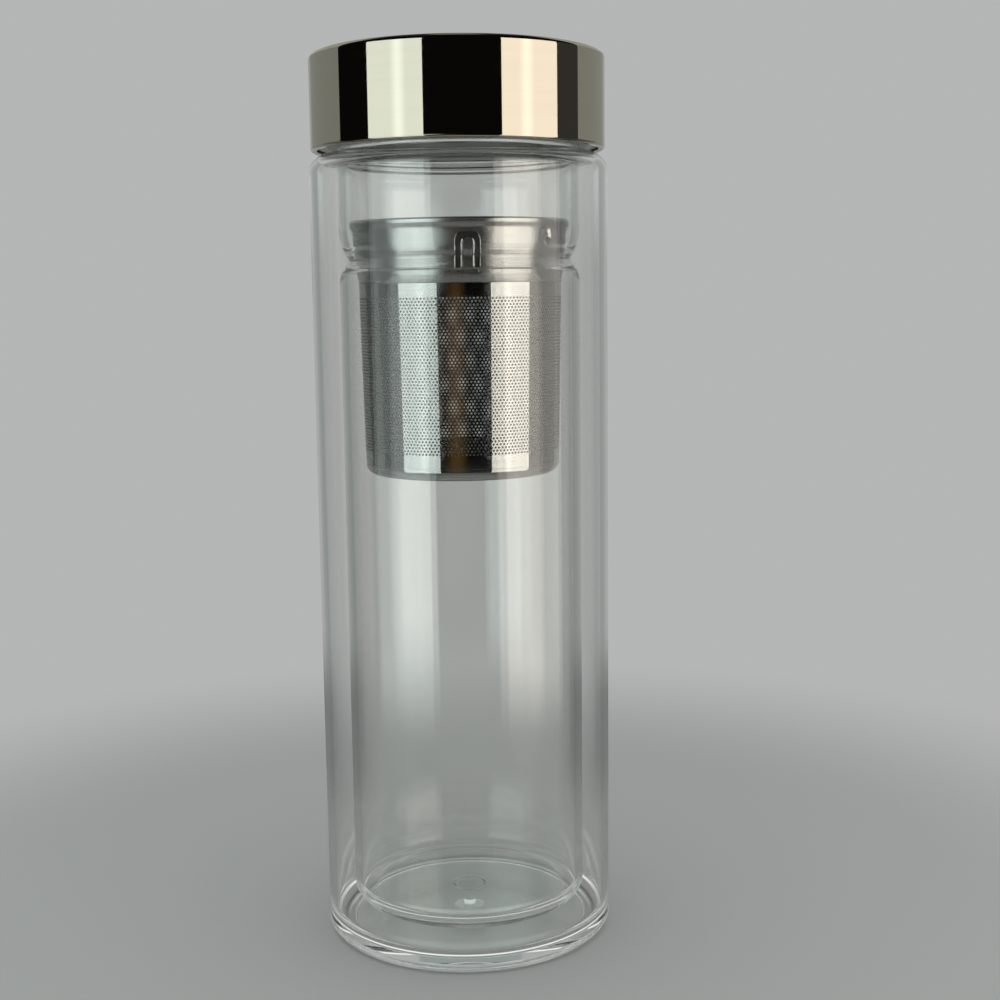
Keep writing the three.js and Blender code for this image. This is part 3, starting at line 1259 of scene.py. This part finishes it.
    def floor(self) -> BMesh:
        """Builds the dished floor with its perforated middle.

        Returns:
            The floor with its thickness.
        """
        reach = math.ceil(self.floor_reach / self.pitch) + 1
        middle_row = math.ceil(ROWS_TO_REACH * reach)
        bm = self.honeycomb(2 * reach + 1, 2 * middle_row + 1)
        centre = Vector((reach + 0.5 * (middle_row % 2), CELL_ROW * middle_row, 0.0))
        bmesh.ops.translate(bm, verts=bm.verts[:], vec=-centre)
        bmesh.ops.scale(bm, verts=bm.verts[:], vec=(self.pitch * MM,) * 3)
        outside = [f for f in bm.faces if f.calc_center_median().length > self.floor_reach * MM]
        bmesh.ops.delete(bm, geom=outside, context="FACES")
        rim = [e for e in bm.edges if e.is_boundary]
        circle = bmesh.ops.create_circle(bm, radius=self.floor_ring * MM, segments=self.columns)["verts"]
        ring = list({e for v in circle for e in v.link_edges})
        cells = bm.faces[:]
        bmesh.ops.triangle_fill(bm, edges=rim + ring, use_beauty=True, normal=-UP)
        self.pierce(bm, cells, self.pitch * MM)
        shift(bm, 0.0, 0.0, self.dish_foot)
        self.raise_edge(bm, ring)
        self.thicken(bm, lambda face: -face.normal.z)
        return bm

    def raise_edge(self, bm: BMesh, ring: list[BMEdge]) -> None:
        """Extrudes the floor's ring of edges out and up into the rounded edge of the dish.

        Args:
            bm: Flat floor in place.
            ring: Edges of its outer circle.
        """
        straight = self.dish_radius - self.dish_ease
        quarter = [QUARTER_TURN * i / EASE_SEGMENTS for i in range(EASE_SEGMENTS + 1)]
        stations = [(straight + self.dish_ease * math.sin(a),
                     self.dish_foot + self.dish_ease * (1.0 - math.cos(a))) for a in quarter]
        stations.append((self.dish_radius, self.dish_top))
        for radius, height in stations:
            grown = bmesh.ops.extrude_edge_only(bm, edges=ring)["geom"]
            ring = only(BMEdge, grown)
            for vert in only(BMVert, grown):
                flat = Vector((vert.co.x, vert.co.y, 0.0)).normalized() * radius
                vert.co = Vector((flat.x, flat.y, height)) * MM

    def build(self, satin: Material, mirror: Material, matt: Material, shade: Material) -> None:
        """Builds and dresses the infuser.

        Args:
            satin: Material of the collar.
            mirror: Material of the outside of the wall and the floor.
            matt: Material of their inside, matt steel painted paler than real steel so that the shaded
                inside renders lighter.
            shade: Material of what shows in the slots, near-black steel that paints the shade seen through
                them.
        """
        collar = new_object("infuser_neck_collar", self.collar(), satin, mirror, shade)
        place(collar, Body.INFUSER, Slot.BRUSHED_STEEL, "infuser_collar")
        for name, first in (("infuser_wall_back", 0), ("infuser_wall_front", self.columns // 2)):
            half = new_object(name, self.wall_half(first), mirror, matt)
            place(half, Body.INFUSER, Slot.POLISHED_STEEL, "infuser_wall")
        floor = new_object("infuser_dished_floor", self.floor(), mirror, matt)
        place(floor, Body.INFUSER, Slot.POLISHED_STEEL, "infuser_floor")


@dataclass(frozen=True)
class Card:
    """Upright curved card that reflections see: its directions are in degrees from the front."""

    name: str
    start: float
    end: float
    distance: float
    glow: float
    tint: Colour = WHITE
    foot: float = -400.0
    top: float = 300.0
    peak: float = 0.0
    peak_at: float = 0.0
    peak_reach: float = 7.0
    low_share: float = 1.0
    soft_ends: float = 0.0


@dataclass(frozen=True)
class Lamp:
    """Soft rectangular lamp that shines at the tumbler but isn't seen itself."""

    name: str
    spot: tuple[float, float, float]
    tint: Colour
    size: tuple[float, float] = (450.0, 500.0)
    glow: float = 1.7


@dataclass
class Studio:
    """Pale floor, even pale surroundings, softboxes with dark cards between them, and the camera."""

    surround: float = 0.47
    surround_tint: Colour = (0.97, 1.0, 0.985)
    zenith: float = 1.3
    zenith_range: tuple[float, float] = (0.4, 0.95)
    ceiling: float = 0.03
    ceiling_range: tuple[float, float] = (0.72, 0.9)
    ceiling_gap: tuple[float, float] = (0.975, 0.995)
    floor_radius: float = 4000.0
    floor_steps: int = 96
    floor_tone: Colour = (0.315, 0.32, 0.32)
    floor_near: float = 130.0
    floor_far: float = 270.0
    # painted light: how much paler the floor is painted under the glass base, between base_near and
    # base_far
    painted_light_under_base: float = 1.6
    base_near: float = 30.0
    base_far: float = 34.0
    table_glow: float = 0.08
    table_near: float = 80.0
    table_far: float = 150.0
    caustics: tuple[tuple[float, float, float], ...] = (
        (25.5, 1.1, 0.7), (31.0, 1.2, 0.45), (35.6, 0.9, 0.5))
    fade_foot: float = -50.0
    fade_top: float = -5.0
    foot_glow: float = 0.2
    low_foot: float = 160.0
    low_top: float = 215.0
    card_steps: int = 24
    target: tuple[float, float, float] = (0.0, 0.0, 100.0)
    lens: float = 53.65
    sensor: float = 36.0
    clip_start: float = 10.0
    clip_end: float = 20000.0
    eye: tuple[float, float, float] = (0.0, -359.13, 155.93)
    pitch: float = 7.997
    yaw: float = 1.415
    roll: float = -0.716
    bounces: int = 40
    cards: tuple[Card, ...] = (
        Card("softbox_left", -68.0, -24.5, 350.0, 1.45, COOL, peak=0.3, peak_at=-43.0, low_share=0.88),
        Card("softbox_right", 32.0, 78.0, 350.0, 1.55, WARM, peak=0.25, peak_at=51.5),
        Card("grey_front", -24.5, -6.0, 354.0, 0.01, COOL, foot=148.0, top=208.0, peak=110.0,
             peak_at=-26.0, peak_reach=20.0, soft_ends=24.0),
        Card("warm_front", -21.0, 9.0, 355.0, 0.004, BROWN, foot=10.0, top=170.0, peak=23.0,
             peak_at=-6.0, peak_reach=14.5, soft_ends=30.0),
        Card("dim_right", 78.0, 101.0, 358.0, 0.05),
        Card("dark_front", -97.0, 101.0, 360.0, 0.004, top=900.0),
        Card("near_left", -124.0, -97.0, 370.0, 0.31, LEFT_GREY, low_share=0.45),
        Card("far_left", -150.0, -124.0, 370.0, 0.31, LEFT_GREY, low_share=0.9),
        Card("near_right", 101.0, 128.0, 370.0, 0.33, RIGHT_GREY, low_share=0.32),
        Card("far_right", 128.0, 150.0, 370.0, 0.33, RIGHT_GREY, low_share=0.9),
        Card("softbox_back", 168.0, 192.0, 375.0, 1.1, COOL, low_share=0.28),
        Card("pale_back", 150.0, 210.0, 380.0, 0.4),
    )
    lamps: tuple[Lamp, ...] = (
        Lamp("lamp_left", (-403.0, -389.0, 260.0), COOL),
        Lamp("lamp_right", (459.0, -321.0, 260.0), WARM),
    )

    def place_camera(self) -> None:
        """Places the camera where the photograph was taken from."""
        camera = bpy.data.objects.new("camera", bpy.data.cameras.new("camera"))
        camera.data.lens = self.lens
        camera.data.sensor_width = self.sensor
        camera.data.clip_start = self.clip_start * MM
        camera.data.clip_end = self.clip_end * MM
        stance = Matrix.Translation(Vector(self.eye) * MM)
        for angle, axis in ((-self.yaw, "Z"), (90.0 - self.pitch, "X"), (self.roll, "Z")):
            stance = stance @ Matrix.Rotation(math.radians(angle), 4, axis)
        camera.matrix_world = stance
        bpy.context.scene.collection.objects.link(camera)
        bpy.context.scene.camera = camera

    def surroundings(self) -> None:
        """Sets an even pale light all round, with a ceiling that is dark to reflections."""
        world = bpy.data.worlds.new("surroundings")
        world.use_nodes = True
        graph = Graph(world.node_tree)
        direction = graph.add("ShaderNodeTexCoord").outputs["Generated"]
        upward = graph.add("ShaderNodeSeparateXYZ", {0: direction}).outputs[2]
        sky = graph.remap(upward, *self.zenith_range, self.surround, self.zenith)
        ceiling = graph.math("ADD", graph.remap(upward, *self.ceiling_range, self.surround, self.ceiling),
                             graph.remap(upward, *self.ceiling_gap, 0.0, self.surround))
        level = graph.first("ShaderNodeMix", {0: self.mirrored(graph), 2: sky, 3: ceiling})
        glow = graph.first("ShaderNodeBackground", {"Color": (*self.surround_tint, 1.0), "Strength": level})
        graph.add("ShaderNodeOutputWorld", {"Surface": glow})
        bpy.context.scene.world = world

    def floor(self) -> None:
        """Lays a pale floor that fades into the surroundings. It carries painted light: a paler patch under
        the glass base, and a glow with caustic rings that only reflections see.
        """
        material, graph = new_material("Studio floor")
        length = graph.add("ShaderNodeVectorMath", {0: graph.object_place()}, operation="LENGTH")
        distance = length.outputs["Value"]
        far = graph.remap(distance, self.floor_near * MM, self.floor_far * MM)
        past_table = graph.remap(distance, self.table_near * MM, self.table_far * MM)
        aside = graph.remap(distance, self.base_near * MM, self.base_far * MM)
        # painted light: the floor colour is made paler under the glass base, a painted pool of light
        painted_base_light = tuple(self.painted_light_under_base * channel for channel in self.floor_tone)
        paper = graph.first("ShaderNodeBsdfDiffuse", {"Color": graph.blend(aside, painted_base_light, self.floor_tone)})
        seen = graph.mix(far, paper, graph.glow(self.surround_tint, self.surround))
        rings = graph.glow(self.surround_tint, self.caustic_rings(graph, distance))
        table = graph.first("ShaderNodeAddShader", {0: paper, 1: rings})
        mirror = graph.mix(past_table, table, graph.first("ShaderNodeBsdfTransparent"))
        graph.surface(graph.mix(self.mirrored(graph), seen, mirror))
        bm = bmesh.new()
        bmesh.ops.create_circle(bm, cap_ends=True, radius=self.floor_radius * MM, segments=self.floor_steps)
        obj = new_object("studio_floor", bm, material)

    def caustic_rings(self, graph: Graph, distance: NodeSocket) -> NodeSocket:
        """Adds up the thin rings of light that the base gathers on the floor.

        Args:
            graph: Graph of the floor's material.
            distance: Distance from the tumbler's axis.

        Returns:
            The strength of the light.
        """
        total: Setting = self.table_glow
        for radius, reach, glow in self.caustics:
            aside = graph.math("ABSOLUTE", graph.math("SUBTRACT", distance, radius * MM))
            total = graph.math("ADD", total, graph.remap(aside, 0.0, reach * MM, glow, 0.0))
        return total

    @staticmethod
    def mirrored(graph: Graph) -> NodeSocket:
        """Returns 1 for what a reflection sees, and 0 for what is seen straight or through glass."""
        return graph.math("GREATER_THAN", graph.add("ShaderNodeLightPath").outputs["Glossy Depth"], 0.5)

    def card_level(self, graph: Graph, card: Card) -> NodeSocket:
        """Draws how strongly a card glows: dim at its foot and its soft ends, and brighter at its peak.

        Args:
            graph: Graph of the card's material.
            card: Card that glows.

        Returns:
            The strength of the glow.
        """
        x, y, z = graph.add("ShaderNodeSeparateXYZ", {0: graph.object_place()}).outputs
        level = graph.remap(z, self.fade_foot * MM, self.fade_top * MM, self.foot_glow, card.glow)
        low = graph.remap(z, self.low_foot * MM, self.low_top * MM, card.low_share, 1.0)
        level = graph.math("MULTIPLY", level, low)
        if card.soft_ends:
            for end, inward in ((card.foot, card.soft_ends), (card.top, -card.soft_ends)):
                along = graph.math("DIVIDE", graph.math("SUBTRACT", z, end * MM), inward * MM)
                level = graph.math("MULTIPLY", level, graph.remap(along, 0.0, 1.0))
        direction = graph.math("ARCTAN2", x, graph.math("MULTIPLY", y, -1.0))
        aside = graph.math("ABSOLUTE", graph.math("SUBTRACT", direction, math.radians(card.peak_at)))
        swell = graph.remap(aside, 0.0, math.radians(card.peak_reach), 1.0 + card.peak, 1.0)
        return graph.math("MULTIPLY", level, swell)

    def hang(self, card: Card) -> None:
        """Makes a curved card, which only reflections see.

        Args:
            card: Card to make.
        """
        bm = bmesh.new()
        low, high = (bm.verts.new(on_ring(card.distance, math.radians(card.start), z))
                     for z in (card.foot, card.top))
        edge = bm.edges.new((low, high))
        bmesh.ops.spin(bm, geom=[low, high, edge], axis=UP, angle=math.radians(card.end - card.start),
                       steps=self.card_steps)
        material, graph = new_material(card.name)
        gone = graph.first("ShaderNodeBsdfTransparent")
        glow = graph.glow(card.tint, self.card_level(graph, card))
        graph.surface(graph.mix(self.mirrored(graph), gone, glow))
        material.cycles.emission_sampling = "NONE"
        obj = new_object(card.name, bm, material)
        obj.visible_diffuse = False
        obj.visible_shadow = False

    def light(self, lamp: Lamp) -> None:
        """Places an area lamp and turns it to the tumbler.

        Args:
            lamp: Lamp to place.
        """
        data = bpy.data.lights.new(lamp.name, "AREA")
        data.shape = "RECTANGLE"
        data.size, data.size_y = (side * MM for side in lamp.size)
        data.energy = lamp.glow * math.pi * data.size * data.size_y
        data.color = lamp.tint
        obj = bpy.data.objects.new(lamp.name, data)
        obj.location = Vector(lamp.spot) * MM
        obj.rotation_euler = (Vector(lamp.spot) - Vector(self.target)).to_track_quat("Z", "Y").to_euler()
        obj.visible_camera = False
        obj.visible_glossy = False
        obj.visible_transmission = False
        bpy.context.scene.collection.objects.link(obj)

    def build(self) -> None:
        """Sets up the camera, the light and the floor."""
        scene = bpy.context.scene
        scene.view_settings.view_transform = "Standard"
        scene.cycles.max_bounces = self.bounces
        scene.cycles.transmission_bounces = self.bounces
        scene.cycles.glossy_bounces = self.bounces
        scene.cycles.transparent_max_bounces = self.bounces
        self.place_camera()
        self.surroundings()
        self.floor()
        for card in self.cards:
            self.hang(card)
        for lamp in self.lamps:
            self.light(lamp)


def main() -> None:
    """Builds the studio and the three sub-assemblies in order."""
    logging.basicConfig(level=logging.INFO, format="%(name)s: %(message)s")
    Studio().build()
    effects = Effects()
    GlassBody().build(CLEAR_GLASS.material(effects))
    lid_finishes = (POLISHED_LID, LINER_PLASTIC, SEAL_SILICONE)
    Lid().build(*(finish.material(effects) for finish in lid_finishes))
    infuser_finishes = (SATIN_COLLAR, MIRROR_BASKET, MATT_INSIDE_PAINTED_LIGHT, SLOT_PAINTED_SHADE)
    Infuser().build(*(finish.material(effects) for finish in infuser_finishes))


if __name__ == "__main__":
    main()
